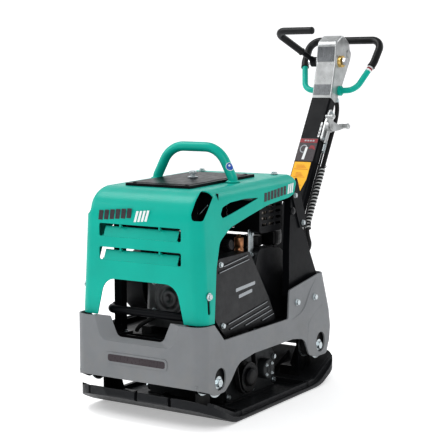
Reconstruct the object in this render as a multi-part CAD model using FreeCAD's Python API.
"""Reversible plate compactor, modelled as the pieces it comes apart into.

Frame: millimetres, +Z up. The origin is the centre of the sole's flat bottom face.
-Y is the front (bumper and louvres), +Y the rear (handle), +X the side with the belt cover.
"""
import FreeCAD, Part
import math
import os

V = FreeCAD.Vector
os.makedirs("parts", exist_ok=True)

# ---------------------------------------------------------------- driving dimensions
CLEAR = 0.3                      # gap kept between pieces that are not a fit

# base plate
PLATE_HALF_WIDTH = 238.0
PLATE_FLAT_HALF = 242.0          # half length of the sole before the lips turn up
PLATE_TIP = 388.0                # how far fore and aft a lip reaches
PLATE_TIP_Z = 64.0
PLATE_LIP_TOP = 88.0
PLATE_THICK = 14.0

# exciter, a case with two contra-rotating eccentric shafts
SHAFT_Z = 86.0
SHAFT_Y = 58.0
SHAFT_R = 20.0
GEAR_MODULE = 4.0
GEAR_TEETH = 29
GEAR_X = -88.0                   # middle of the gear pair
GEAR_WIDTH = 22.0
CASE_HALF_X = 128.0
CASE_HALF_Y = 140.0
CASE_TOP = 160.0
COVER_THICK = 10.0
RUNNING = 0.05                   # radial clearance of a running fit

# shock mounts, four rubber discs in shear with their axes along X
MOUNT_Y = 289.0
MOUNT_Z = 121.0
MOUNT_PLATE_R = 41.0
RUBBER_R = 36.0
BRACKET_X = (150.0, 158.0)
RUBBER_X = (162.0, 197.7)
OUTER_PLATE_X = (198.0, 202.0)
SIDE_PLATE_X = (202.0, 207.0)

# deck
DECK_Z = (212.0, 220.0)
DECK_HALF_Y = 336.0

# grey bumpers
SKIRT_HALF_WIDTH = 217.0
SKIRT_WALL = 5.0
SKIRT_FRONT = -382.0
SKIRT_TOP = 287.5
SKIRT_CORNER = 36.0

# hood
HOOD_WALL = 3.0
HOOD_FRONT = -364.0
HOOD_BASE_Z = 288.5
HOOD_BASE_HALF = 210.0
HOOD_DRAFT = 17.0 / 280.0        # how much each side leans in for each millimetre of height
HOOD_FRONT_R = 82.0              # big rounding from the front face to the top
HOOD_EDGE_R = 32.0
HOOD_CREASE = (-282.0, 646.0)    # where that rounding meets the top, (y, z)
HOOD_REAR = (163.0, 660.0)       # rear end of the top, (y, z)

# engine
CRANK_Y = -120.0
CRANK_Z = 355.0
BELT_X = 158.0
BELT_WIDTH = 15.0
CLUTCH_R = 50.0
EXCITER_PULLEY_R = 40.0

# handle
PIVOT = V(0.0, 404.0, 358.0)
ARM_LEAN = 30.0                  # degrees rearward from upright, in the working position
FOLD_RANGE = 35.0
ARM_HALF_WIDTH = 37.0
ARM_FRONT = -19.0
ARM_BACK = 23.0
ARM_LENGTH = 594.0
EAR_X = (45.0, 53.0)
LEVER_V = -28.0                  # lever shaft, across and along the arm
LEVER_S = 730.0
LOCK_R = 34.0                    # radius of the lock pin's circle about the pivot

SIDES = (-1.0, 1.0)
ENDS = (-1.0, 1.0)


# ---------------------------------------------------------------- geometry helpers
def box(x0, x1, y0, y1, z0, z1):
    """Box between two corners, given in either order."""
    x0, x1 = sorted((x0, x1))
    y0, y1 = sorted((y0, y1))
    z0, z1 = sorted((z0, z1))
    return Part.makeBox(x1 - x0, y1 - y0, z1 - z0, V(x0, y0, z0))


def rod(start, end, radius):
    """Cylinder from one point to another."""
    start = V(*start)
    span = V(*end) - start
    return Part.makeCylinder(radius, span.Length, start, span)


def rod_x(x0, x1, y, z, radius):
    return rod((min(x0, x1), y, z), (max(x0, x1), y, z), radius)


def rounded(points, radius):
    """Edges of a closed outline of 3D points, with its corners rounded to radius.

    radius is one number or one number for each point; 0 leaves a corner sharp.
    """
    count = len(points)
    radii = radius if isinstance(radius, (list, tuple)) else [radius] * count
    corners = []
    for i in range(count):
        corners.append(corner(points[i - 1], points[i], points[(i + 1) % count], radii[i]))
    edges = []
    for i in range(count):
        enter, middle, leave = corners[i]
        if middle is not None:
            edges.append(Part.Arc(enter, middle, leave).toShape())
        following = corners[(i + 1) % count][0]
        if leave.distanceToPoint(following) > 1e-4:
            edges.append(Part.LineSegment(leave, following).toShape())
    return edges


def corner(before, here, after, radius):
    """Start, middle and end of the arc that rounds one corner."""
    to_before = (before - here).normalize()
    to_after = (after - here).normalize()
    angle = to_before.getAngle(to_after)
    if radius <= 0 or angle > math.pi - 1e-3:
        return here, None, here
    reach = radius / math.tan(angle / 2)
    middle_line = (to_before + to_after).normalize()
    middle = here + middle_line * (radius / math.sin(angle / 2) - radius)
    return here + to_before * reach, middle, here + to_after * reach


def face_of(points, radius=0):
    return Part.Face(Part.Wire(rounded(points, radius)))


def slab_x(outline, x0, x1, radius=0):
    """Outline of (y, z) points, pushed from x0 to x1."""
    face = face_of([V(x0, y, z) for y, z in outline], radius)
    return face.extrude(V(x1 - x0, 0, 0))


def slab_y(outline, y0, y1, radius=0):
    """Outline of (x, z) points, pushed from y0 to y1."""
    face = face_of([V(x, y0, z) for x, z in outline], radius)
    return face.extrude(V(0, y1 - y0, 0))


def slab_z(outline, z0, z1, radius=0):
    """Outline of (x, y) points, pushed from z0 to z1."""
    face = face_of([V(x, y, z0) for x, y in outline], radius)
    return face.extrude(V(0, 0, z1 - z0))


def path_of(points, bend):
    """Wire of straight runs joined by tangent arcs; bend is a radius, or one for each corner."""
    points = [V(*p) for p in points]
    inner = len(points) - 2
    bends = bend if isinstance(bend, (list, tuple)) else [bend] * inner
    edges = []
    last = points[0]
    for i in range(inner):
        enter, middle, leave = corner(points[i], points[i + 1], points[i + 2], bends[i])
        if last.distanceToPoint(enter) > 1e-4:
            edges.append(Part.LineSegment(last, enter).toShape())
        if middle is not None:
            edges.append(Part.Arc(enter, middle, leave).toShape())
        last = leave
    edges.append(Part.LineSegment(last, points[-1]).toShape())
    return Part.Wire(edges)


def bent_tube(points, bend, radius):
    """Round bar along a path of straight runs and arcs."""
    path = path_of(points, bend)
    start = V(*points[0])
    profile = Part.Wire([Part.makeCircle(radius, start, V(*points[1]) - start)])
    return path.makePipeShell([profile], True, False)


def four(make):
    """The same piece at each of the four shock mounts."""
    return [make(side, end) for side in SIDES for end in ENDS]


def tilt(shape, angle, centre):
    """Turn about an axis along X; a positive angle leans the top rearward."""
    turned = shape.copy()
    turned.rotate(centre, V(1, 0, 0), -angle)
    return turned


def on_arm(shape):
    """Place a piece drawn upright, with Z along the arm from its pivot."""
    placed = shape.copy()
    placed.translate(PIVOT)
    return tilt(placed, ARM_LEAN, PIVOT)


def arm_point(x, across, along):
    """A point given across and along the arm, in the part's own frame."""
    lean = math.radians(ARM_LEAN)
    y = PIVOT.y + across * math.cos(lean) + along * math.sin(lean)
    z = PIVOT.z - across * math.sin(lean) + along * math.cos(lean)
    return (x, y, z)


def hex_head(centre, axis, across, height):
    """Hexagon head standing on centre, along axis."""
    direction = V(*axis).normalize()
    helper = V(0, 0, 1) if abs(direction.z) < 0.9 else V(1, 0, 0)
    first = direction.cross(helper).normalize()
    second = direction.cross(first)
    radius = across / math.sqrt(3)
    points = []
    for i in range(6):
        turn = math.radians(60 * i)
        points.append(V(*centre) + first * (radius * math.cos(turn)) + second * (radius * math.sin(turn)))
    return face_of(points).extrude(direction * height)


def bolt(centre, axis, shank, length, washer=0.0, head=None):
    """Flange bolt: washer and hexagon outside centre, shank into the work."""
    direction = V(*axis).normalize()
    at = V(*centre)
    across = head or shank * 1.6
    flange = Part.makeCylinder(max(washer, across * 0.62), 2.5, at, direction)
    cap = hex_head(tuple(at + direction * 2.5), axis, across, shank * 0.6)
    stem = Part.makeCylinder(shank / 2, length, at - direction * length, direction)
    return flange.fuse([cap, stem])


def save(node, shapes):
    """Write one node; shapes is one solid or a list of separate solids."""
    pieces = shapes if isinstance(shapes, list) else [shapes]
    solids = []
    for piece in pieces:
        solids += piece.removeSplitter().Solids
    for solid in solids:
        if not solid.isValid() or solid.Volume <= 0:
            print("CHECK", node, "has a bad solid")
    shape = solids[0] if len(solids) == 1 else Part.makeCompound(solids)
    shape.exportStep("parts/" + node + ".step")
    print(f"{node:20s} solids {len(solids):3d}  volume {shape.Volume / 1000:9.1f} cm3")
    return shape


# ---------------------------------------------------------------- base plate
def make_base_plate():
    """Cast plate with long turned-up lips, ribs on top and notches in the lips."""
    flat, tip, lip = PLATE_FLAT_HALF, PLATE_TIP, PLATE_LIP_TOP
    half = PLATE_HALF_WIDTH
    inner = flat - 2.0
    outline = [(-flat, 0), (flat, 0), (tip, PLATE_TIP_Z), (tip - 4, lip), (tip - 14, lip - 4),
               (inner, PLATE_THICK), (-inner, PLATE_THICK), (-tip + 14, lip - 4), (-tip + 4, lip),
               (-tip, PLATE_TIP_Z)]
    body = slab_x(outline, -half, half, [200, 200, 8, 4, 4, 180, 180, 4, 4, 8])
    ribs = [box(-CASE_HALF_X - 8, CASE_HALF_X + 8, -CASE_HALF_Y, CASE_HALF_Y, 10, 20)]
    for end in ENDS:
        ribs.append(box(-half + 10, half - 10, end * 188, end * 198, 10, 28))
        profile = ((142, 10), (236, 10), (356, 66), (350, 80), (230, 27), (142, 27))
        on_lip = [(end * y, z) for y, z in profile]
        for side in SIDES:
            ribs.append(slab_x(on_lip, side * 60, side * 70))
            ribs.append(slab_x(on_lip, side * (half - 24), side * (half - 12)))
    for side in SIDES:
        ribs.append(box(side * (half - 24), side * (half - 12), -150, 150, 10, 27))
    sole = [(-flat, 0), (flat, 0), (tip, PLATE_TIP_Z), (tip, 200), (-tip, 200), (-tip, PLATE_TIP_Z)]
    above_sole = slab_x(sole, -half, half, [200, 200, 0, 0, 0, 0])
    body = body.fuse(ribs).common(above_sole)
    plan = [(-half, -364), (0, -404), (half, -364), (half, tip), (-half, tip)]
    body = body.common(slab_z(plan, -1, 120, [84, 700, 84, 80, 80]))
    for end in ENDS:
        for x in (-168, 0, 112):
            body = body.cut(box(x - 5, x + 5, end * 372, end * 400, 60, 100))
    section = [(-half, 0), (half, 0), (half, 130), (-half, 130)]
    return body.common(slab_y(section, -420, 420, [12, 12, 0, 0]))


def make_mount_brackets(plate):
    """Four upright brackets that carry the inner ends of the shock mounts."""
    def one(side, end):
        x0, x1 = BRACKET_X
        y = end * MOUNT_Y
        outline = [(y - 36, 12), (y + 36, 12), (y + 38, 140), (y + 22, 166), (y - 22, 166), (y - 38, 140)]
        upright = slab_x(outline, side * x0, side * x1)
        foot = box(side * 92, side * x1, y - 36, y + 36, 12, 52)
        outline = [(side * 96, 12), (side * x0, 12), (side * x0, 130), (side * 138, 130)]
        gusset = slab_y(outline, y - 5, y + 5)
        bracket = upright.fuse([foot, gusset]).cut(plate)
        above_plate = max(bracket.Solids, key=lambda solid: solid.Volume)
        return above_plate.cut(rod_x(side * 100, side * (x1 + 1), y, MOUNT_Z, 6.5))
    return four(one)


def disc(side, end, x0, x1, radius, bore=6.5):
    y = end * MOUNT_Y
    body = rod_x(side * x0, side * x1, y, MOUNT_Z, radius)
    return body.cut(rod_x(side * (x0 - 1), side * (x1 + 1), y, MOUNT_Z, bore)) if bore else body


def make_shock_mounts():
    """Rubber blocks, waisted between their bonded plates."""
    def one(side, end):
        x0, x1 = RUBBER_X
        middle = (x0 + x1) / 2
        block = disc(side, end, x0, x1, RUBBER_R, 0)
        waist = Part.makeTorus(RUBBER_R + 12, 16, V(side * middle, end * MOUNT_Y, MOUNT_Z), V(1, 0, 0))
        return block.cut(waist)
    return four(one)


# ---------------------------------------------------------------- exciter
def make_exciter_case():
    half_y = CASE_HALF_Y
    outline = [(-half_y, 20), (half_y, 20), (half_y, 118), (half_y - 42, CASE_TOP),
               (-half_y + 42, CASE_TOP), (-half_y, 118)]
    body = slab_x(outline, -CASE_HALF_X, CASE_HALF_X, [0, 0, 18, 18, 18, 18])
    hollow = [(-124, 23), (124, 23), (124, 114), (90, 151), (-90, 151), (-124, 114)]
    body = body.cut(slab_x(hollow, -CASE_HALF_X - 1, CASE_HALF_X + 1, 8))
    ribs = []
    for y in (-90.0, -30.0, 30.0, 90.0):
        ribs.append(box(-CASE_HALF_X + 14, CASE_HALF_X - 14, y - 4, y + 4, CASE_TOP - 6, CASE_TOP + 6))
    return body.fuse(ribs)


COVER_BOLTS = ((-129, 36), (129, 36), (-129, 108), (129, 108), (0, 36), (0, 146), (-80, 148), (80, 148))
OIL_PLUG = (6, 66)


def make_exciter_cover(side):
    """End cover with a bearing seat for each shaft; a blind cap closes each plain shaft end."""
    half_y = CASE_HALF_Y
    x0 = CASE_HALF_X
    x1 = CASE_HALF_X + COVER_THICK
    outline = [(-half_y + 2, 22), (half_y - 2, 22), (half_y - 2, 117), (half_y - 43, CASE_TOP - 2),
               (-half_y + 43, CASE_TOP - 2), (-half_y + 2, 117)]
    body = slab_x(outline, side * x0, side * x1, [10, 10, 18, 18, 18, 18])
    for end in ENDS:
        body = body.fuse(rod_x(side * (x0 - 20), side * x1, end * SHAFT_Y, SHAFT_Z, 50))
    if side > 0:
        boss = rod_x(x1, 166, SHAFT_Y, SHAFT_Z, 30)
        body = body.fuse(boss.makeFillet(4, [boss.Edges[0]]))
    else:
        body = body.fuse(rod_x(-x1, -x1 - 8, SHAFT_Y, SHAFT_Z, 30))
        body = body.fuse(rod_x(-x1, -x1 - 8, -SHAFT_Y, SHAFT_Z, 30))
    for end in ENDS:
        body = body.cut(rod_x(side * (x0 - 21), side * x0, end * SHAFT_Y, SHAFT_Z, 44))
        body = body.cut(rod_x(side * (x0 - 1), side * (x0 + 8), end * SHAFT_Y, SHAFT_Z, SHAFT_R + 3))
    for y, z in COVER_BOLTS:
        body = body.cut(rod_x(side * (x1 - COVER_THICK + 0.5), side * (x1 + 1), y, z, 4 + CLEAR))
    if side > 0:
        body = body.cut(rod_x(x0, x1 + 1, -SHAFT_Y, SHAFT_Z, SHAFT_R + 3))
        body = body.cut(rod_x(x0 + 0.5, x1 + 1, *OIL_PLUG, 7 + CLEAR))
    return body


def make_exciter_bearings():
    """Four roller bearings, one ring of section each, seated in the covers."""
    rings = []
    for side in SIDES:
        for end in ENDS:
            x0 = side * (CASE_HALF_X - 20)
            x1 = side * CASE_HALF_X
            ring = rod_x(x0, x1, end * SHAFT_Y, SHAFT_Z, 44)
            rings.append(ring.cut(rod_x(x0 - 1, x1 + 1, end * SHAFT_Y, SHAFT_Z, SHAFT_R + RUNNING)
                                  if side > 0 else
                                  rod_x(x0 + 1, x1 - 1, end * SHAFT_Y, SHAFT_Z, SHAFT_R + RUNNING)))
    return rings


def make_exciter_fasteners():
    """Cover bolts, the case's hold-down bolts and the oil plug."""
    parts = []
    x = CASE_HALF_X + COVER_THICK
    for side in SIDES:
        for y, z in COVER_BOLTS:
            parts.append(bolt((side * x, y, z), (side, 0, 0), 8, COVER_THICK - 1))
    parts.append(bolt((x, *OIL_PLUG), (1, 0, 0), 14, COVER_THICK - 1))
    return parts


def make_phase_cylinder():
    """Hydraulic cylinder on the left cover that shifts one eccentric's phase."""
    x0 = -CASE_HALF_X - COVER_THICK - 8
    body = rod_x(x0, x0 - 34, SHAFT_Y, SHAFT_Z, 26)
    body = body.makeFillet(4, [body.Edges[0]])
    port = rod((x0 - 20, SHAFT_Y, SHAFT_Z + 20), (x0 - 20, SHAFT_Y, SHAFT_Z + 44), 9)
    return body.fuse(port)


def half_weight(y, x0, x1, down):
    """Half-moon eccentric weight on one shaft."""
    disc_body = rod_x(x0, x1, y, SHAFT_Z, 50)
    side = box(x0 - 1, x1 + 1, y - 60, y + 60, SHAFT_Z, SHAFT_Z - down * 60)
    return disc_body.common(side)


def make_eccentric(end, x_right):
    """Shaft with its half-moon weight between the bearings."""
    y = end * SHAFT_Y
    shaft = rod_x(-CASE_HALF_X - 6, x_right, y, SHAFT_Z, SHAFT_R)
    core = rod_x(-66, 96, y, SHAFT_Z, 30)
    return shaft.fuse([core, half_weight(y, -60, 90, 1.0)])


def make_gear(end, phase):
    """Spur gear on one shaft."""
    pitch_r = GEAR_MODULE * GEAR_TEETH / 2
    tip_r = pitch_r + GEAR_MODULE * 0.95
    root_r = pitch_r - GEAR_MODULE * 1.25
    step = 2 * math.pi / GEAR_TEETH
    y0 = end * SHAFT_Y
    x0 = GEAR_X - GEAR_WIDTH / 2
    points = []
    for tooth in range(GEAR_TEETH):
        middle = phase + tooth * step
        for turn, radius in ((-0.31, root_r), (-0.235, pitch_r), (-0.12, tip_r),
                             (0.12, tip_r), (0.235, pitch_r), (0.31, root_r)):
            angle = middle + turn * step
            points.append((y0 + radius * math.cos(angle), SHAFT_Z + radius * math.sin(angle)))
    gear = slab_x(points, x0, x0 + GEAR_WIDTH)
    return gear.cut(rod_x(x0 - 1, x0 + GEAR_WIDTH + 1, y0, SHAFT_Z, SHAFT_R))


def make_pulley(y, z, radius, bore, hub_x0, hub_x1):
    """V-belt pulley: a grooved disc on a hub."""
    half = BELT_WIDTH / 2 + 3.5
    outline = [(BELT_X - half, 0), (BELT_X - half, radius + 3), (BELT_X - half + 2.5, radius + 3),
               (BELT_X - 4.5, radius - 13), (BELT_X + 4.5, radius - 13),
               (BELT_X + half - 2.5, radius + 3), (BELT_X + half, radius + 3), (BELT_X + half, 0)]
    points = [V(x, y, z + r) for x, r in outline]
    disc_body = face_of(points).revolve(V(0, y, z), V(1, 0, 0), 360)
    hub = rod_x(hub_x0, hub_x1, y, z, bore + 10)
    return disc_body.fuse(hub).cut(rod_x(hub_x0 - 1, hub_x1 + 1, y, z, bore))


# ---------------------------------------------------------------- frame and bumpers
def make_deck_frame():
    """Deck plate, two side plates that reach down to the mounts, and the end plates."""
    deck = box(-SIDE_PLATE_X[0], SIDE_PLATE_X[0], -DECK_HALF_Y, DECK_HALF_Y, *DECK_Z)
    deck = deck.cut(box(136, 184, -172, 20, DECK_Z[0] - 1, DECK_Z[1] + 1))
    deck = deck.cut(box(-110, 110, 226, 300, DECK_Z[0] - 1, DECK_Z[1] + 1))
    deck = deck.cut(slab_z([(-100, -320), (100, -320), (100, -262), (-100, -262)], DECK_Z[0] - 1,
                           DECK_Z[1] + 1, 14))
    parts = [deck]
    outline = [(-332, 186), (-323, MOUNT_Z), (-255, MOUNT_Z), (-236, 150), (-200, 182), (200, 182),
               (236, 150), (255, MOUNT_Z), (323, MOUNT_Z), (332, 186), (304, 316), (98, 312),
               (92, 234), (-332, 234)]
    for side in SIDES:
        plate = slab_x(outline, side * SIDE_PLATE_X[0], side * SIDE_PLATE_X[1])
        for end in ENDS:
            plate = plate.fuse(rod_x(side * SIDE_PLATE_X[0], side * SIDE_PLATE_X[1],
                                     end * MOUNT_Y, MOUNT_Z, 34))
        parts.append(plate)
    parts.append(box(-202, 202, -DECK_HALF_Y, -DECK_HALF_Y + 6, 186, 232))
    parts.append(box(-202, 202, DECK_HALF_Y - 36, DECK_HALF_Y - 30, 186, 314))
    parts.append(box(-202, 202, DECK_HALF_Y - 30, DECK_HALF_Y, 204, 214))
    parts.append(box(-100, 100, DECK_HALF_Y - 30, DECK_HALF_Y, 214, 300))
    body = parts[0].fuse(parts[1:])
    for side in SIDES:
        for end in ENDS:
            body = body.cut(rod_x(side * 200, side * 210, end * MOUNT_Y, MOUNT_Z, 6.5))
        for y in SKIRT_BOLTS:
            body = body.cut(rod_x(side * 200, side * 210, y, 281, 5 + CLEAR))
    return body


SKIRT_BOLTS = (133, 243)         # how far back the two bolts through each skirt are


def skirt_mask():
    """Side outline of both bumpers together, as (y, z) points and corner radii."""
    points = [(-400, 123), (-345, 104), (-322, 93), (-268, 93), (-236, 117), (-196, 160), (-110, 172),
              (112, 172), (182, 160), (214, 104), (262, 90), (318, 90), (400, 112), (400, 349),
              (262, 349), (88, 323), (83, 238), (-270, 237), (-321, SKIRT_TOP), (-400, SKIRT_TOP)]
    radii = [0, 30, 20, 20, 40, 60, 60, 60, 40, 26, 16, 20, 0, 0, 24, 8, 8, 10, 6, 0]
    return points, radii


def skirt_block(inset, low, high):
    """Outer or inner body of the bumpers: upright front, rear that leans forward going up."""
    front = SKIRT_FRONT + inset
    half = SKIRT_HALF_WIDTH - inset
    corner_r = SKIRT_CORNER - inset
    rear = [(372, 125), (378, 174), (366, 232), (322, 343)]
    points = [(front, low), (346 - inset, low)]
    points += [(y - inset, z) for y, z in rear]
    points += [(320 - inset, high), (front, high)]
    block = slab_x(points, -half, half, [0, 0, 24, 60, 60, 0, 0, 0])
    edges = []
    for edge in block.Edges:
        bounds = edge.BoundBox
        along_side = bounds.XLength < 0.01
        at_front = bounds.YMax < front + 0.01
        at_rear = bounds.YMin > 300 and bounds.ZLength > 1
        if along_side and (at_front or at_rear):
            edges.append(edge)
    return block.makeFillet(corner_r, edges)


def rear_seam():
    """Side region that belongs to the rear bumper, as (y, z) points."""
    return [(204, 60), (204, 165), (210, 206), (248, 232), (296, 248), (420, 262), (420, 400), (430, 400),
            (430, 60)]


def make_bumpers():
    """Front bumper with both side skirts, and the rear bumper."""
    shell = skirt_block(0, 70, 349).cut(skirt_block(SKIRT_WALL, 60, 360))
    window_frame = box(-154, 154, SKIRT_FRONT + 1, SKIRT_FRONT + 20, 212, SKIRT_TOP)
    front_lip = box(-200, 200, SKIRT_FRONT + 2, SKIRT_FRONT + 16, 123, 129)
    shell = shell.fuse([window_frame, front_lip])
    points, radii = skirt_mask()
    shell = shell.common(slab_x(points, -230, 230, radii))
    outer = [V(x, SKIRT_FRONT - 0.5, z) for x, z in ((-149, 300), (-122, 220), (122, 220), (149, 300))]
    inner = [V(x, SKIRT_FRONT + 21, z) for x, z in ((-105, 300), (-74, 232), (74, 232), (105, 300))]
    wires = [Part.Wire(rounded(outer, [0, 30, 30, 0])), Part.Wire(rounded(inner, [0, 20, 20, 0]))]
    shell = shell.cut(Part.makeLoft(wires, True))
    shell = shell.cut(box(-108, 108, 300, 400, 252, 360))
    for side in SIDES:
        for end in ENDS:
            y = end * MOUNT_Y - 2
            slot = slab_x([(y - 27, 102), (y + 27, 102), (y + 27, 164), (y - 27, 164)],
                          side * 205, side * 230, 26.5)
            shell = shell.cut(slot)
        for y in SKIRT_BOLTS:
            shell = shell.cut(rod_x(side * 205, side * 230, y, 281, 5 + CLEAR))
    region = rear_seam()
    radii = [0, 0, 26, 40, 0, 0, 0, 0, 0]
    grown = [(y - 0.8, z) for y, z in region]
    rear_zone = slab_x(region, -240, 240, radii)
    front = shell.cut(slab_x(grown, -240, 240, radii).fuse(box(-240, 240, 332, 420, 60, 400)))
    rear = shell.common(rear_zone).fuse(shell.common(box(-240, 240, 332.8, 420, 60, 400)))
    return front, rear


POST_LEAN = 3.2                  # degrees each rear post leans inward
POST_BOLTS = ((170, 598), (212, 512))


def make_side_posts():
    """Rear uprights that carry the hood's tail, each with a bracket plate outside it."""
    post = [(105, 245), (300, 245), (297, 340), (216, 502), (166, 612), (155, 600), (130, 440), (117, 300)]
    plate = [(157, 598), (182, 640), (184, 650), (190, 648), (243, 506), (238, 497), (196, 497)]
    parts = []
    for side in SIDES:
        x = SIDE_PLATE_X[0]
        upright = slab_x(post, side * (x - 5), side * x, [0, 0, 8, 60, 6, 6, 80, 30])
        flange = slab_x([(117, 300), (130, 440), (155, 600), (160, 600), (135, 440), (122, 300)],
                        side * (x - 22), side * (x - 5))
        bracket = slab_x(plate, side * x, side * (x + 4), [4, 2, 2, 2, 4, 4, 4])
        for piece in (upright.fuse(flange), bracket):
            for y, z in POST_BOLTS:
                piece = piece.cut(rod_x(side * (x - 30), side * (x + 10), y, z, 4 + 2 * CLEAR))
            piece.rotate(V(side * x, 0, 245), V(0, 1, 0), -side * POST_LEAN)
            parts.append(piece)
    return parts


def make_frame_bolts():
    """Every zinc bolt on the upper frame: mounts, posts, hood, belt cover and top knob."""
    parts = []
    for side in SIDES:
        for end in ENDS:
            y = end * MOUNT_Y
            head = bolt((side * SIDE_PLATE_X[1], y, MOUNT_Z), (side, 0, 0), 12, 8.5, 19, 20)
            parts.append(head)
        for y in SKIRT_BOLTS:
            parts.append(bolt((side * SKIRT_HALF_WIDTH, y, 281), (side, 0, 0), 10, 14.5, 10, 15))
        for y, z in POST_BOLTS:
            x = SIDE_PLATE_X[0] + 4.0
            post_bolt = bolt((side * x, y, z), (side, 0, 0), 8, 8.6, 8, 13)
            post_bolt.rotate(V(side * SIDE_PLATE_X[0], 0, 245), V(0, 1, 0), -side * POST_LEAN)
            parts.append(post_bolt)
        side_x = HOOD_BASE_HALF - (365 - HOOD_BASE_Z) * HOOD_DRAFT
        parts.append(bolt((side * (side_x + 1), -332, 365), (side, 0, 0), 9, 12, 11, 14))
        parts.append(bolt((side * 130, 145, 660.2), (0, 0, 1), 9, 22, 11, 14))
    parts.append(bolt((188.2, -248, 440), (1, 0, 0), 8, 26, 8, 12))
    parts.append(bolt((188.2, -236, 268), (1, 0, 0), 8, 26, 8, 12))
    knob_x, knob_y = KNOB
    knob_z = hood_top_z(knob_y) + 10
    knob = rod((knob_x, knob_y, knob_z - 8), (knob_x, knob_y, knob_z + 14), 6)
    washer = rod((knob_x, knob_y, knob_z), (knob_x, knob_y, knob_z + 3), 15)
    grip = rod((knob_x, knob_y, knob_z + 9), (knob_x, knob_y, knob_z + 20), 11)
    parts.append(knob.fuse([washer, grip.makeFillet(3, grip.Edges)]))
    return parts


def make_guard_frame():
    """Square-tube cage over the engine that carries the hood and the lifting handle."""
    bar = 25.0
    parts = []
    for side in SIDES:
        inner = side * 118
        outer = side * (118 + bar)
        parts.append(box(inner, outer, -290, -290 + bar, DECK_Z[1], 635))
        parts.append(box(inner, outer, -290 + bar, 165, 610, 635))
        parts.append(box(side * 106, side * 155, -302, -252, DECK_Z[1], DECK_Z[1] + 6))
        parts.append(box(inner - side * 6, outer + side * 6, -116, -66, 635, 640))
    parts.append(box(-118, 118, 140, 165, 610, 635))
    parts.append(box(-175.5, 175.5, 168, 190, 578, 603))
    for side in SIDES:
        parts.append(box(side * 118, side * 143, 150, 190, 603, 612))
    return parts[0].fuse(parts[1:])


def make_engine_guard():
    """Bent tube across the front of the engine, welded to the cage's uprights."""
    z = 298
    points = [(-140, -290.3, z), (-140, -320, z), (140, -320, z), (140, -290.3, z)]
    return bent_tube(points, 24, 12)


# ---------------------------------------------------------------- hood and lifting handle
def hood_block(inset, low):
    """Outer or inner body of the hood, with drafted sides and rounded edges."""
    front = HOOD_FRONT + inset
    crease_y, crease_z = HOOD_CREASE
    rear_y, rear_z = HOOD_REAR
    slope = (rear_z - crease_z) / (rear_y - crease_y)
    rear_end = rear_y + 60
    top = crease_z - inset
    points = [(front, low), (front, top - slope * (crease_y - front)),
              (rear_end, top + slope * (rear_end - crease_y)), (rear_end, low)]
    block = slab_x(points, -240, 240, [0, HOOD_FRONT_R - inset, 0, 0])
    for side in SIDES:
        x_low = HOOD_BASE_HALF - inset - (low - HOOD_BASE_Z) * HOOD_DRAFT
        x_high = HOOD_BASE_HALF - inset - (720 - HOOD_BASE_Z) * HOOD_DRAFT
        wedge = slab_y([(side * x_low, low), (side * x_high, 720), (side * 300, 720), (side * 300, low)],
                       -420, 300)
        block = block.cut(wedge)
    edges = []
    for edge in block.Edges:
        bounds = edge.BoundBox
        on_side = bounds.XMin * bounds.XMax > 0
        at_rear = bounds.YMin > rear_end - 1
        at_base = bounds.ZMax < low + 1
        if on_side and not at_rear and not at_base:
            edges.append(edge)
    return block.makeFillet(HOOD_EDGE_R - inset, edges)


def hood_arch():
    """What is cut from both hood sides, as (y, z) points and corner radii."""
    points = [(-312, 270), (-286, 434), (-262, 505), (-206, 538), (-108, 560), (2, 583), (128, 595),
              (158, 604), (HOOD_REAR[0] + 13, 638), (HOOD_REAR[0], 664), (HOOD_REAR[0], 700), (320, 700),
              (320, 270)]
    radii = [0, 90, 36, 80, 200, 300, 60, 14, 12, 4, 0, 0, 0]
    return points, radii


def louvre_cut(top):
    """Slot with two short legs turned down at its ends."""
    half = 138
    leg = 13
    drop = 36
    slot = slab_y([(-half, top - 20), (half, top - 20), (half, top), (-half, top)], -400, -330, 5.5)
    legs = []
    for side in SIDES:
        legs.append(slab_y([(side * (half - leg), top - drop), (side * half, top - drop),
                            (side * half, top - 1), (side * (half - leg), top - 1)], -400, -330, 5.5))
    return slot.fuse(legs)


def louvre_scoop(top):
    """Panel below the slot, pressed inward so that its upper edge stands behind the face."""
    half = 124
    low = top - 37
    outline = [(HOOD_FRONT + 0.4, low), (HOOD_FRONT + 13, top - 8), (HOOD_FRONT + 15, top - 8),
               (HOOD_FRONT + 3, low - 1)]
    panel = slab_x(outline, -half, half, [0, 2, 0, 0])
    ribs = []
    for x in (-66, 66):
        ribs.append(slab_x([(HOOD_FRONT + 1, top + 1), (HOOD_FRONT + 14, top - 7),
                            (HOOD_FRONT + 12, top - 12), (HOOD_FRONT + 1, top - 8)], x - 2, x + 2))
    return panel.fuse(ribs)


def corner_vent(side):
    """Slanted opening that wraps the front corner of the hood."""
    azimuth = math.radians(32.5)
    toward = V(side * math.sin(azimuth), -math.cos(azimuth), 0.115).normalize()
    across = V(side * math.cos(azimuth), math.sin(azimuth), 0)
    up = toward.cross(across)
    if up.z < 0:
        up = up * -1
    centre = V(side * 190, -338, 612)
    outline = [(-4, 39), (26, 39), (28, 24), (13, -16), (1, -44), (-28, -43), (-30, -26), (-18, 10)]
    start = centre - toward * 50
    points = [start + across * a + up * b for a, b in outline]
    return face_of(points, [12, 7, 9, 60, 9, 9, 14, 60]).extrude(toward * 110)


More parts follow.
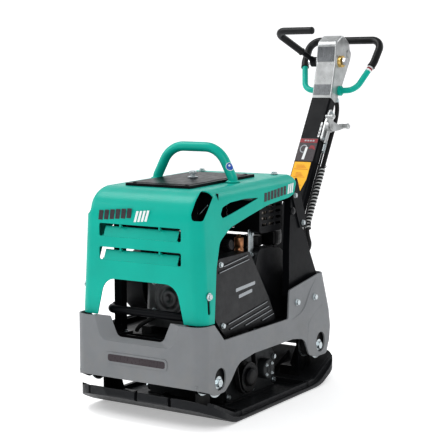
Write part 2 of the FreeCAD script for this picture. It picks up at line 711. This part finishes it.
def make_hood():
    shell = hood_block(0, HOOD_BASE_Z).cut(hood_block(HOOD_WALL, HOOD_BASE_Z - 10))
    points, radii = hood_arch()
    shell = shell.cut(slab_x(points, -260, 260, radii))
    window = [(-151, 270), (-121, 393), (121, 393), (151, 270)]
    shell = shell.cut(slab_y(window, -400, -320, [0, 46, 46, 0]))
    crossed = [(-252, 578), (-240, 597), (-200, 607), (-124, 611), (-46, 608), (-126, 590), (-193, 576),
               (-241, 567)]
    shell = shell.cut(slab_x(crossed, -260, 260, [8, 12, 60, 100, 1, 100, 60, 10]))
    for top in (547, 481):
        panel_zone = box(-125, 125, -380, -340, top - 36, top - 10)
        shell = shell.cut(louvre_cut(top).fuse(panel_zone))
    shell = shell.fuse([louvre_scoop(547), louvre_scoop(481)])
    for side in SIDES:
        shell = shell.cut(corner_vent(side))
        slot = slab_x([(-338, 316), (-326, 316), (-326, 371), (-338, 371)], side * 190, side * 220, 5.5)
        shell = shell.cut(slot)
        shell = shell.cut(rod((side * 131, -91, 630), (side * 131, -91, 680), 15.5))
        shell = shell.cut(rod((side * 130, 145, 630), (side * 130, 145, 680), 5))
    opening = [(-92, -260), (92, -260), (92, 48), (-92, 48)]
    return shell.cut(slab_z(opening, 620, 690, 18))


def hood_top_z(y):
    """Height of the hood's top surface at a distance along Y."""
    crease_y, crease_z = HOOD_CREASE
    rear_y, rear_z = HOOD_REAR
    return crease_z + (y - crease_y) * (rear_z - crease_z) / (rear_y - crease_y)


KNOB = (0.0, -100.0)             # screw that holds the lid, (x, y)


def make_top_plate():
    """Pan-shaped lid over the opening in the hood's top."""
    front, rear, half = -278, 64, 109
    low = CLEAR
    high = 8.0
    outline = [(front, hood_top_z(front) + low), (rear, hood_top_z(rear) + low),
               (rear, hood_top_z(rear) + high), (front, hood_top_z(front) + high)]
    inner = [(front + 3, hood_top_z(front) - 1), (rear - 3, hood_top_z(rear) - 1),
             (rear - 3, hood_top_z(rear) + high - 3), (front + 3, hood_top_z(front) + high - 3)]
    pan = slab_x(outline, -half, half).cut(slab_x(inner, -half + 3, half - 3))
    first, last = front + 16, rear - 16
    bead = slab_x([(first, hood_top_z(first) + high - 1), (last, hood_top_z(last) + high - 1),
                   (last, hood_top_z(last) + high + 1.2), (first, hood_top_z(first) + high + 1.2)],
                  -half + 14, half - 14)
    return pan.fuse(bead).cut(rod((*KNOB, 640), (*KNOB, 670), 6 + CLEAR))


def make_lifting_handle():
    """Bent tube over the hood's top, on two plates bolted to the cage."""
    y = -91
    points = [(-131, y, 640), (-131, y, 662), (-84, y, 751), (84, y, 751), (131, y, 662), (131, y, 640)]
    return bent_tube(points, [24, 78, 78, 24], 14)


# ---------------------------------------------------------------- engine
def make_crankcase():
    body = box(-95, 95, -212, -12, 236, 420)
    upright = [e for e in body.Edges if e.BoundBox.ZLength > 100]
    body = body.makeFillet(22, upright)
    body = body.cut(box(-82, 82, -196, -28, 258, 404))
    body = body.fuse(rod_x(82, 108, CRANK_Y, CRANK_Z, 44))
    for side in SIDES:
        body = body.fuse(box(side * 58, side * 92, -230, 6, DECK_Z[1], 238))
    body = body.fuse(box(-70, 70, -216, -210, 270, 380))
    body = body.cut(rod_x(-120, 120, CRANK_Y, CRANK_Z, 20 + RUNNING))
    return body.cut(rod((0, CRANK_Y, 400), (0, CRANK_Y, 430), 36))


def make_cylinder():
    """Air-cooled barrel with cooling fins."""
    barrel = rod((0, CRANK_Y, 420), (0, CRANK_Y, 505), 46)
    fins = [barrel]
    for i in range(8):
        z = 428 + i * 9.4
        fin = box(-64, 64, CRANK_Y - 62, CRANK_Y + 62, z, z + 3)
        corners = [e for e in fin.Edges if e.BoundBox.ZLength > 2]
        fins.append(fin.makeFillet(16, corners))
    body = fins[0].fuse(fins[1:])
    return body.cut(rod((0, CRANK_Y, 410), (0, CRANK_Y, 510), 36))


def make_cylinder_head():
    head = box(-64, 64, CRANK_Y - 60, CRANK_Y + 60, 505, 540)
    head = head.makeFillet(14, [e for e in head.Edges if e.BoundBox.ZLength > 30])
    fins = []
    for i in range(3):
        z = 512 + i * 9
        fins.append(box(-67, 67, CRANK_Y - 64, CRANK_Y + 64, z, z + 3))
    cover = box(-48, 48, CRANK_Y - 50, CRANK_Y + 50, 540, 574)
    cover = cover.makeFillet(11, [e for e in cover.Edges if e.BoundBox.ZMin > 541])
    return head.fuse(fins + [cover])


def make_muffler():
    """Silencer can with its exhaust elbow from the head."""
    can = rod_x(46, 144, 88, 542, 38)
    can = can.makeFillet(6, can.Edges)
    elbow = bent_tube([(58, -51, 522), (58, -26, 522), (58, 60, 522)], 30, 14)
    outlet = rod((100, 88, 575), (100, 88, 596), 11)
    return can.fuse([elbow, outlet])


def make_muffler_guard():
    """Slotted sheet guard round the silencer."""
    outer = box(40, 152, 22, 156, 494, 590)
    outer = outer.makeFillet(14, [e for e in outer.Edges if e.BoundBox.XLength > 100])
    inner = box(43, 149, 25, 153, 497, 587)
    inner = inner.makeFillet(11, [e for e in inner.Edges if e.BoundBox.XLength > 100])
    shell = outer.cut(inner)
    for row in range(4):
        z = 514 + row * 18
        for y in (36, 76, 116):
            shell = shell.cut(box(140, 160, y, y + 28, z, z + 8))
    shell = shell.cut(box(30, 60, 34, 144, 500, 584))
    shell = shell.cut(rod((58, 10, 522), (58, 40, 522), 15))
    return shell.cut(rod((100, 88, 580), (100, 88, 600), 14))


def make_air_cleaner():
    """Canister on the engine's left, with a domed lid and a clamp band."""
    x, y = -120, -190
    can = rod((x, y, 462), (x, y, 560), 51)
    lid = rod((x, y, 563), (x, y, 590), 49)
    lid = lid.makeFillet(12, [e for e in lid.Edges if e.BoundBox.ZMin > 580])
    band = rod((x, y, 558), (x, y, 566), 52)
    snout = bent_tube([(-120, -170, 500), (-120, -120, 500), (-105, -100, 520)], 18, 15)
    return can.fuse([lid, band, snout.cut(box(-200, -60, -110, 0, 400, 600))])


def make_carburettor():
    body = box(-116, -72, -109, -66, 494, 536)
    bowl = rod((-92, -88, 470), (-92, -88, 494), 18)
    neck = rod((-72, -92, 520), (-67.4, -92, 520), 12)
    return body.fuse([bowl, neck])


def make_fuel_tank():
    """Moulded tank behind the engine, with a filler neck."""
    outline = [(16, 226), (206, 226), (206, 436), (44, 448), (16, 380)]
    tank = slab_x(outline, -136, 138, [12, 12, 62, 26, 30])
    hollow = slab_x([(20, 230), (202, 230), (202, 432), (46, 444), (20, 380)], -132, 134, [9, 9, 58, 22, 26])
    neck = rod((70, 118, 430), (70, 118, 462), 22)
    body = tank.fuse(neck).cut(hollow)
    body = body.cut(rod((70, 118, 425), (70, 118, 470), 18))
    straps = [box(-100, -76, 10.5, 16, 240, 370), box(90, 114, 10.5, 16, 240, 370)]
    return body.fuse(straps)


def make_fuel_cap():
    """Screw cap with a milled rim; its skirt turns outside the filler neck."""
    cap = rod((70, 118, 446), (70, 118, 476), 29)
    cap = cap.makeFillet(4, [e for e in cap.Edges if e.BoundBox.ZMin > 470])
    cap = cap.cut(rod((70, 118, 440), (70, 118, 468), 22 + CLEAR))
    for i in range(18):
        turn = math.radians(20 * i)
        x = 70 + 30 * math.cos(turn)
        y = 118 + 30 * math.sin(turn)
        cap = cap.cut(rod((x, y, 444), (x, y, 470), 2.2))
    return cap


ROPE_GUIDE = (CRANK_Y + 50, CRANK_Z + 50)


def make_recoil_housing():
    """Fan and starter cover on the left of the engine."""
    x0, x1 = -98, -178
    shell = rod_x(x0, x1, CRANK_Y, CRANK_Z, 96)
    shell = shell.makeFillet(8, [e for e in shell.Edges if e.BoundBox.XMax < x1 + 1])
    shell = shell.cut(rod_x(x0 + 1, x1 + 4, CRANK_Y, CRANK_Z, 92))
    for ring_r in (20, 36, 52):
        for i in range(12):
            turn = math.radians(30 * i)
            y = CRANK_Y + ring_r * math.cos(turn)
            z = CRANK_Z + ring_r * math.sin(turn)
            shell = shell.cut(rod_x(x1 - 1, x1 + 6, y, z, 5.5))
    shell = shell.fuse(rod_x(x1 + 2, x1 - 8, *ROPE_GUIDE, 13))
    return shell.cut(rod_x(x1 - 20, x1 + 6, *ROPE_GUIDE, 4))


def make_starter_grip():
    """Pull grip of the recoil starter, with the end of its rope."""
    y, z = ROPE_GUIDE
    bar = rod((-194, y, z - 26), (-194, y, z + 26), 7)
    bar = bar.makeFillet(5, bar.Edges)
    return bar.fuse([rod_x(-176, -194, y, z, 3)])


def make_crankshaft():
    """Crankshaft with its webs inside the case and the flywheel on the left."""
    shaft = rod_x(-150, 132, CRANK_Y, CRANK_Z, 20)
    stub = rod_x(132, 178, CRANK_Y, CRANK_Z, 11)
    webs = []
    for x in (-30, 16):
        web = slab_x([(CRANK_Y - 24, CRANK_Z - 40), (CRANK_Y + 24, CRANK_Z - 40), (CRANK_Y + 17, CRANK_Z + 40),
                      (CRANK_Y - 17, CRANK_Z + 40)], x, x + 14, 8)
        webs.append(web)
    crankpin = rod_x(-20, 20, CRANK_Y, CRANK_Z + 26, 12)
    wheel = rod_x(-114, -140, CRANK_Y, CRANK_Z, 84)
    blades = []
    for i in range(12):
        blade = box(-140, -158, CRANK_Y - 1.5, CRANK_Y + 1.5, CRANK_Z + 40, CRANK_Z + 84)
        blade.rotate(V(0, CRANK_Y, CRANK_Z), V(1, 0, 0), 30 * i)
        blades.append(blade)
    body = shaft.fuse([stub, crankpin, wheel] + webs + blades)
    return body.cut(box(-16, 16, CRANK_Y - 60, CRANK_Y + 60, CRANK_Z - 60, CRANK_Z + 12))


def make_drive_belt():
    """V-belt round both pulleys, kept clear of their grooves by the frame's travel."""
    y0, z0, r0 = CRANK_Y, CRANK_Z, CLUTCH_R
    y1, z1, r1 = -SHAFT_Y, SHAFT_Z, EXCITER_PULLEY_R
    outer = belt_loop(y0, z0, r0 + 8, y1, z1, r1 + 11)
    inner = belt_loop(y0, z0, r0 + 4, y1, z1, r1 + 7)
    half = BELT_WIDTH / 2
    along = V(BELT_WIDTH, 0, 0)
    band = Part.Face(outer).extrude(along).cut(Part.Face(inner).extrude(along))
    band.translate(V(BELT_X - half, 0, 0))
    return band


def belt_loop(y0, z0, r0, y1, z1, r1):
    """Closed loop of two arcs and two tangent lines in the plane x = 0."""
    distance = math.hypot(y1 - y0, z1 - z0)
    direction = math.atan2(z1 - z0, y1 - y0)
    spread = math.acos((r0 - r1) / distance)

    def at(y, z, radius, angle):
        return V(0, y + radius * math.cos(angle), z + radius * math.sin(angle))

    a = at(y0, z0, r0, direction + spread)
    b = at(y0, z0, r0, direction - spread)
    c = at(y1, z1, r1, direction - spread)
    d = at(y1, z1, r1, direction + spread)
    far = at(y0, z0, r0, direction + math.pi)
    near = at(y1, z1, r1, direction)
    return Part.Wire([Part.Arc(a, far, b).toShape(), Part.LineSegment(b, c).toShape(),
                      Part.Arc(c, near, d).toShape(), Part.LineSegment(d, a).toShape()])


def make_belt_cover():
    """Pressed cover over the belt on the right side, ribbed at its lower end."""
    outline = [(-258, 456), (-93, 459), (17, 310), (61, 236), (-221, 234), (-274, 290), (-266, 425)]
    radii = [12, 14, 30, 8, 10, 20, 20]
    inner = [(-254, 452), (-96, 455), (12, 309), (54, 225), (-219, 225), (-270, 291), (-262, 425)]
    body = slab_x(outline, 143.5, 188, radii)
    body = body.cut(slab_x(inner, 140, 184, [9, 11, 28, 0, 0, 18, 18]))
    ribs = []
    lower = ((-210, 6, 268, 300), (-200, 16, 253, 285), (-120, 30, 250, 272), (-26, 42, 249, 259))
    upper = ((-234, -104, 433, 449), (-256, -97, 418, 437))
    for y0, y1, z0, z1 in lower + upper:
        ribs.append(ridge((y0, z0), (y1, z1)))
    body = body.fuse(ribs)
    return body.cut([rod_x(180, 195, -248, 440, 4.2), rod_x(180, 195, -236, 268, 4.2)])


def ridge(start, end, wide=4.0, high=3.0):
    """Raised line on the belt cover's face."""
    y0, z0 = start
    y1, z1 = end
    length = math.hypot(y1 - y0, z1 - z0)
    ny, nz = -(z1 - z0) / length * wide / 2, (y1 - y0) / length * wide / 2
    outline = [(y0 + ny, z0 + nz), (y0 - ny, z0 - nz), (y1 - ny, z1 - nz), (y1 + ny, z1 + nz)]
    return slab_x(outline, 186, 188 + high)


def make_stop_switch():
    """Engine stop push button on the crankcase's front."""
    button = rod((40, -216.5, 395), (40, -236, 395), 9)
    return button.makeFillet(2.5, [e for e in button.Edges if e.BoundBox.YMax < -235])


# ---------------------------------------------------------------- handle
def make_handle_bracket():
    """Two ears behind the frame that the handle pivots between, with a stop bar."""
    base = box(-95, 95, 336, 344, 216, 300)
    ear = [(344, 262), (344, 300), (352, 340), (386, 408), (434, 408), (450, 366), (440, 322), (400, 278),
           (372, 262)]
    parts = [base]
    for side in SIDES:
        plate = slab_x(ear, side * EAR_X[0], side * EAR_X[1], [0, 0, 20, 20, 20, 20, 20, 20, 20])
        parts.append(plate)
    parts.append(rod_x(-EAR_X[1], -EAR_X[1] - 10, *lock_centre(0), 11))
    stop = on_arm(box(-46, 46, ARM_FRONT - 9, ARM_FRONT - CLEAR, -30, -16))
    parts.append(stop)
    body = parts[0].fuse(parts[1:])
    body = body.cut(rod_x(-70, 70, PIVOT.y, PIVOT.z, 10 + RUNNING))
    return body.cut(rod_x(-40, -80, *lock_centre(0), 6 + RUNNING))


def lock_centre(fold):
    """Where the arm's lock hole for a fold angle lies at rest, as (y, z)."""
    turn = math.radians(90 - ARM_LEAN + FOLD_RANGE / 2 - fold)
    return (PIVOT.y + LOCK_R * math.cos(turn), PIVOT.z + LOCK_R * math.sin(turn))


def make_pivot_pin():
    """Hinge pin of the handle with a head and a nut."""
    x = EAR_X[1]
    pin = rod_x(-x - 6, x + 14, PIVOT.y, PIVOT.z, 10)
    head = hex_head((-x - 2, PIVOT.y, PIVOT.z), (-1, 0, 0), 30, 9)
    washer = rod_x(-x, -x - 2, PIVOT.y, PIVOT.z, 18)
    nut = hex_head((x + 2, PIVOT.y, PIVOT.z), (1, 0, 0), 30, 11)
    second = rod_x(x, x + 2, PIVOT.y, PIVOT.z, 18)
    return pin.fuse([head, washer, nut, second])


def make_pivot_bushes():
    """Two rubber bushes pressed into the arm's sides, running on the pin."""
    parts = []
    for side in SIDES:
        ring = rod_x(side * 30, side * (EAR_X[0] - CLEAR), PIVOT.y, PIVOT.z, 16)
        collar = rod_x(side * (ARM_HALF_WIDTH + CLEAR), side * (EAR_X[0] - CLEAR), PIVOT.y, PIVOT.z, 20)
        body = ring.fuse(collar)
        parts.append(body.cut(rod_x(side * 29, side * 50, PIVOT.y, PIVOT.z, 10 + RUNNING)))
    return parts


def make_lock_pin():
    """Spring plunger in the left ear; pushed in, it enters a hole in the arm."""
    y, z = lock_centre(0)
    pin = rod_x(-EAR_X[0] + 6, -EAR_X[1] - 30, y, z, 6)
    knob = rod_x(-EAR_X[1] - 24, -EAR_X[1] - 42, y, z, 12)
    return pin.fuse(knob.makeFillet(4, knob.Edges))


def make_handle_arm():
    """Box-section arm with a rounded foot, drilled for the bushes and the lock."""
    half = ARM_HALF_WIDTH
    outer = box(-half, half, ARM_FRONT, ARM_BACK, -34, ARM_LENGTH)
    outer = outer.makeFillet(6, [e for e in outer.Edges if e.BoundBox.ZLength > 100])
    inner = box(-half + 4, half - 4, ARM_FRONT + 4, ARM_BACK - 4, -40, ARM_LENGTH + 1)
    body = on_arm(outer.cut(inner))
    body = body.fuse([on_arm(box(-half + 2, half - 2, ARM_FRONT + 2, ARM_BACK - 2, 40, 48))])
    body = body.cut(rod_x(-60, 60, PIVOT.y, PIVOT.z, 16))
    for fold in (0, FOLD_RANGE):
        y, z = lock_centre(fold)
        body = body.cut(rod_x(-20, -60, y, z, 6.5))
    return body


def make_control_head():
    """Cast housing on top of the arm for the travel lever's shaft and pump rack."""
    outline = [(ARM_FRONT, 594), (-51, 710), (-80, 776), (-52, 824), (6, 826), (45, 786), (36, 650),
               (ARM_BACK, 594)]
    inner = [(-11, 600), (-43, 710), (-70, 775), (-48, 815), (4, 818), (38, 783), (29, 651), (17, 600)]
    half = ARM_HALF_WIDTH
    body = slab_x(outline, -half, half, [0, 60, 26, 30, 30, 24, 40, 0])
    rim = [e for e in body.Edges if e.BoundBox.XLength < 0.01 and e.BoundBox.ZMax > 595]
    body = body.makeFillet(6, rim)
    body = body.cut(slab_x(inner, -half + 5, half - 5, [0, 60, 22, 24, 24, 20, 40, 0]))
    body = body.cut(box(-half + 8, half - 8, ARM_FRONT + 6, ARM_BACK - 6, 590, 605))
    for side in SIDES:
        body = body.fuse(rod_x(side * (half - 5), side * (half + 3), LEVER_V, LEVER_S, 24))
        body = body.fuse(rod_x(side * half, side * (half + 3), 18, 786, 14))
    body = body.cut(rod_x(-60, 60, LEVER_V, LEVER_S, 14))
    return on_arm(body)


def make_head_panels():
    """Two thin trim panels on the head's front face."""
    panels = []
    for low, high in ((604, 640), (700, 762)):
        panels.append(box(-31, 31, -2.0, 0, low, high))
    lean = math.degrees(math.atan2(32, 116))
    lower = panels[0]
    lower.translate(V(0, 0, -594))
    lower.rotate(V(0, 0, 0), V(1, 0, 0), lean)
    lower.translate(V(0, ARM_FRONT - 0.2, 594))
    upper = box(-31, 31, -2.0, 0, 6, 56)
    upper_lean = math.degrees(math.atan2(29, 66))
    upper.rotate(V(0, 0, 0), V(1, 0, 0), upper_lean)
    upper.translate(V(0, -51.6, 710))
    return [on_arm(lower), on_arm(upper)]


LOOP_LEAN = 35.0
LOOP_BASE = V(0.0, 747.0, 905.0)
LOOP_OUTLINE = [(44, 0), (97, 4), (134, 118), (140, 212)]
LOOP_BENDS = [44, 90, 38]


def loop_point(x, along):
    """A point in the guard loop's plane."""
    lean = math.radians(LOOP_LEAN)
    return (x, LOOP_BASE.y + along * math.sin(lean), LOOP_BASE.z + along * math.cos(lean))


def make_guard_loop():
    """Tube loop round the lever, on two flanges at the head's sides."""
    right = [loop_point(x, w) for x, w in LOOP_OUTLINE]
    left = [loop_point(-x, w) for x, w in reversed(LOOP_OUTLINE)]
    tube = bent_tube(right + left, LOOP_BENDS + LOOP_BENDS[::-1], 10)
    flanges = []
    for side in SIDES:
        flanges.append(rod_x(side * (ARM_HALF_WIDTH + CLEAR), side * 45, LOOP_BASE.y, LOOP_BASE.z, 17))
    return tube.fuse(flanges)


def make_loop_sleeve():
    """Grip sleeve over the upper half of the loop."""
    right = [loop_point(128.5, 100), loop_point(134, 118), loop_point(140, 212)]
    left = [loop_point(-x, w) for x, w in ((140, 212), (134, 118), (128.5, 100))]
    outer = bent_tube(right + left, [90, 38, 38, 90], 13)
    whole = [loop_point(x, w) for x, w in LOOP_OUTLINE]
    other = [loop_point(-x, w) for x, w in reversed(LOOP_OUTLINE)]
    inner = bent_tube(whole + other, LOOP_BENDS + LOOP_BENDS[::-1], 10)
    return outer.cut(inner)


LEVER_X = -56.0
LEVER_KNEE = (-133.0, 597.0, 1105.0)
LEVER_END = (4.0, 597.0, 1105.0)


def lever_route():
    start = arm_point(LEVER_X, LEVER_V, LEVER_S)
    return [start, LEVER_KNEE, LEVER_END]


def make_travel_lever():
    """Forward and reverse lever: hub on the shaft and a bent bar."""
    _, y, z = arm_point(0, LEVER_V, LEVER_S)
    hub = rod_x(LEVER_X - 12, LEVER_X + 12, y, z, 17)
    bar = bent_tube(lever_route(), 24, 8.5)
    lever = hub.fuse(bar).cut(rod_x(LEVER_X - 30, LEVER_X + 14, y, z, 9.0))
    return lever.cut(rod_x(LEVER_X - 30, LEVER_X - 13, y, z, 13.2))


def make_lever_sleeve():
    """Rubber sleeve over the lever's outer part, round the knee to its end."""
    route = lever_route()
    start = V(*route[0])
    knee = V(*route[1])
    begin = start + (knee - start) * 0.34
    end = (LEVER_END[0] + 3, LEVER_END[1], LEVER_END[2])
    outer = bent_tube([tuple(begin), LEVER_KNEE, end], 24, 12)
    return outer.cut(bent_tube(route, 24, 8.5))


PINION_TEETH = 18
PINION_MODULE = 2.0


def make_lever_shaft():
    """Shaft through the head with the pump's pinion and an end nut."""
    _, y, z = arm_point(0, LEVER_V, LEVER_S)
    shaft = rod_x(-70, 62, y, z, 9)
    pitch_r = PINION_MODULE * PINION_TEETH / 2
    step = 2 * math.pi / PINION_TEETH
    points = []
    for tooth in range(PINION_TEETH):
        middle = math.radians(-ARM_LEAN) + tooth * step
        for turn, radius in ((-0.3, pitch_r - 2.5), (-0.21, pitch_r), (-0.09, pitch_r + 1.7),
                             (0.09, pitch_r + 1.7), (0.21, pitch_r), (0.3, pitch_r - 2.5)):
            angle = middle + turn * step
            points.append((y + radius * math.cos(angle), z + radius * math.sin(angle)))
    pinion = slab_x(points, -11, 11)
    nut = hex_head((52.5, y, z), (1, 0, 0), 24, 12)
    end_nut = hex_head((-69.5, y, z), (-1, 0, 0), 22, 8)
    return shaft.fuse([pinion, nut, end_nut])


def make_lever_bushes():
    """Brass bushes for the lever shaft, one in each side of the head."""
    _, y, z = arm_point(0, LEVER_V, LEVER_S)
    parts = []
    for side in SIDES:
        outer = rod_x(side * 30, side * 41, y, z, 14)
        if side > 0:
            outer = outer.fuse(rod_x(40, 51, y, z, 20))
        else:
            outer = outer.fuse(rod_x(-40, -43, y, z, 18))
        parts.append(outer.cut(rod_x(side * 29, side * 60, y, z, 9 + RUNNING)))
    return parts


def make_control_rack():
    """Pump rack driven by the pinion, sliding along the arm."""
    pitch_line = LEVER_V + PINION_MODULE * PINION_TEETH / 2
    pitch = math.pi * PINION_MODULE
    points = [(pitch_line + 16, LEVER_S - 36), (pitch_line + 2.4, LEVER_S - 36)]
    for i in range(-5, 6):
        middle = LEVER_S + (i + 0.5) * pitch
        points.append((pitch_line + 2.4, middle - 0.3 * pitch))
        points.append((pitch_line, middle - 0.2 * pitch))
        points.append((pitch_line - 1.7, middle - 0.1 * pitch))
        points.append((pitch_line - 1.7, middle + 0.1 * pitch))
        points.append((pitch_line, middle + 0.2 * pitch))
        points.append((pitch_line + 2.4, middle + 0.3 * pitch))
    points += [(pitch_line + 2.4, LEVER_S + 38), (pitch_line + 16, LEVER_S + 38)]
    rack = slab_x(points, -9, 9)
    piston = rod((0, pitch_line + 10, LEVER_S - 80), (0, pitch_line + 10, LEVER_S - 36), 9)
    return on_arm(rack.fuse(piston))


def make_throttle_bracket():
    """Die-cast throttle body on the arm's right side."""
    half = ARM_HALF_WIDTH
    plate = slab_x([(-16, 434), (14, 440), (18, 520), (4, 556), (-10, 556), (-18, 500)],
                   half + CLEAR, half + 7, 6)
    drum = rod_x(half + 6, half + 20, 0, 494, 20)
    outlet = rod((half + 14, 0, 430), (half + 14, 0, 478), 6)
    body = plate.fuse([drum, outlet])
    return on_arm(body.cut(rod_x(half - 1, half + 30, 0, 494, 5 + RUNNING)))


def make_throttle_lever():
    """Throttle lever: a stem in the drum, an arm to the rear with a wing and a short front stub."""
    half = ARM_HALF_WIDTH
    stem = rod_x(half + 2, half + 30, 0, 494, 5)
    plate = slab_x([(-46, 508), (-40, 518), (0, 512), (40, 522), (70, 540), (77, 528), (46, 504), (6, 478),
                    (-10, 482)], half + 20.5, half + 26, [4, 4, 30, 20, 5, 5, 20, 8, 10])
    wing = rod_x(half + 12, half + 38, 68, 532, 8)
    stub = rod_x(half + 14, half + 34, -40, 511, 6)
    return on_arm(stem.fuse([plate, wing, stub]))


HOSE_R = 7.5
CABLE_R = 3.5

# Each route is held all the way by clips, grommets and the housings at its ends. A bend is the
# radius of the arc at each inner point.
HANDLE_HOSE = [arm_point(26, 41, 612), arm_point(44, 40, 560), arm_point(47, 34, 500),
               arm_point(47, 34, 130), arm_point(82, 30, 70), arm_point(82, 4, 26), arm_point(82, 0, 5)]
HANDLE_HOSE_BENDS = [60, 60, 60, 40, 30, 12]
HANDLE_CABLE = [arm_point(51, 0, 429.5), arm_point(51, 4, 380), arm_point(46, 10, 330),
                arm_point(46, 10, 110), arm_point(96, 6, 50), arm_point(96, 0, 5)]
HANDLE_CABLE_BENDS = [60, 60, 40, 30]
FRAME_HOSE = [(82, 401.5, 353.7), (82, 388, 330), (82, 250, 330), (82, 250, 188), (10, 200, 188),
              (-90, 160, 188), (-166, 110, 188), (-166, 58, 180), (-166, 58, 134)]
FRAME_HOSE_BENDS = [18, 40, 30, 40, 60, 40, 24]
FRAME_CABLE = [(96, 401.5, 353.7), (96, 386, 334), (96, 270, 334), (88, 214, 400), (88, 214, 478),
               (20, 190, 482), (-60, 120, 482), (-92, 20, 500), (-92, -61, 512)]
FRAME_CABLE_BENDS = [18, 30, 40, 12, 40, 50, 60]


def held_line(name, route, bends, radius):
    """Hose or cable held all along; prints its length, its bend radii and how true its volume is."""
    length = path_of(route, bends).Length
    line = bent_tube(route, bends, radius)
    share = line.Volume / (math.pi * radius ** 2 * length)
    print(f"{name:20s} length {length:7.1f} mm  bend radii {bends}")
    print(f"{name:20s} volume / (section x length) {share:.4f}")
    return line


def make_handle_lines():
    """Hydraulic hose and throttle cable along the arm, down to the pivot."""
    return [held_line("hose on the arm", HANDLE_HOSE, HANDLE_HOSE_BENDS, HOSE_R),
            held_line("cable on the arm", HANDLE_CABLE, HANDLE_CABLE_BENDS, CABLE_R)]


def make_frame_lines():
    """The same two lines from the pivot into the frame."""
    return [held_line("hose in the frame", FRAME_HOSE, FRAME_HOSE_BENDS, HOSE_R),
            held_line("cable in the frame", FRAME_CABLE, FRAME_CABLE_BENDS, CABLE_R)]


# ---------------------------------------------------------------- build
def build_all():
    plate = save("base_plate", make_base_plate())
    save("mount_brackets", make_mount_brackets(plate))
    save("inner_mount_plates", four(lambda s, e: disc(s, e, BRACKET_X[1], RUBBER_X[0], MOUNT_PLATE_R)))
    save("shock_mounts", make_shock_mounts())
    save("exciter_case", make_exciter_case())
    save("exciter_cover_right", make_exciter_cover(1))
    save("exciter_cover_left", make_exciter_cover(-1))
    save("exciter_bearings", make_exciter_bearings())
    save("exciter_fasteners", make_exciter_fasteners())
    save("phase_cylinder", make_phase_cylinder())
    save("front_eccentric", make_eccentric(-1, 170))
    save("rear_eccentric", make_eccentric(1, CASE_HALF_X + 6))
    save("front_gear", make_gear(-1, 0.0))
    save("rear_gear", make_gear(1, 0.0))
    save("exciter_pulley", make_pulley(-SHAFT_Y, SHAFT_Z, EXCITER_PULLEY_R, SHAFT_R, 142, 170))

    save("deck_frame", make_deck_frame())
    save("outer_mount_plates", four(lambda s, e: disc(s, e, *OUTER_PLATE_X, MOUNT_PLATE_R)))
    front, rear = make_bumpers()
    save("front_bumper", front)
    save("rear_bumper", rear)
    save("side_posts", make_side_posts())
    save("frame_bolts", make_frame_bolts())
    save("guard_frame", make_guard_frame())
    save("engine_guard", make_engine_guard())
    save("hood", make_hood())
    save("top_plate", make_top_plate())
    save("lifting_handle", make_lifting_handle())
    save("belt_cover", make_belt_cover())
    save("drive_belt", make_drive_belt())
    save("handle_bracket", make_handle_bracket())
    save("frame_lines", make_frame_lines())

    save("crankcase", make_crankcase())
    save("cylinder", make_cylinder())
    save("cylinder_head", make_cylinder_head())
    save("muffler", make_muffler())
    save("muffler_guard", make_muffler_guard())
    save("air_cleaner", make_air_cleaner())
    save("carburettor", make_carburettor())
    save("fuel_tank", make_fuel_tank())
    save("fuel_cap", make_fuel_cap())
    save("recoil_housing", make_recoil_housing())
    save("starter_grip", make_starter_grip())
    save("crankshaft", make_crankshaft())
    save("clutch_pulley", make_pulley(CRANK_Y, CRANK_Z, CLUTCH_R, 11 + RUNNING, 142, 172))
    save("stop_switch", make_stop_switch())

    save("handle_arm", make_handle_arm())
    save("pivot_pin", make_pivot_pin())
    save("pivot_bushes", make_pivot_bushes())
    save("lock_pin", make_lock_pin())
    save("control_head", make_control_head())
    save("head_panels", make_head_panels())
    save("guard_loop", make_guard_loop())
    save("loop_sleeve", make_loop_sleeve())
    save("travel_lever", make_travel_lever())
    save("lever_sleeve", make_lever_sleeve())
    save("lever_shaft", make_lever_shaft())
    save("lever_bushes", make_lever_bushes())
    save("control_rack", make_control_rack())
    save("throttle_bracket", make_throttle_bracket())
    save("throttle_lever", make_throttle_lever())
    save("handle_lines", make_handle_lines())


build_all()
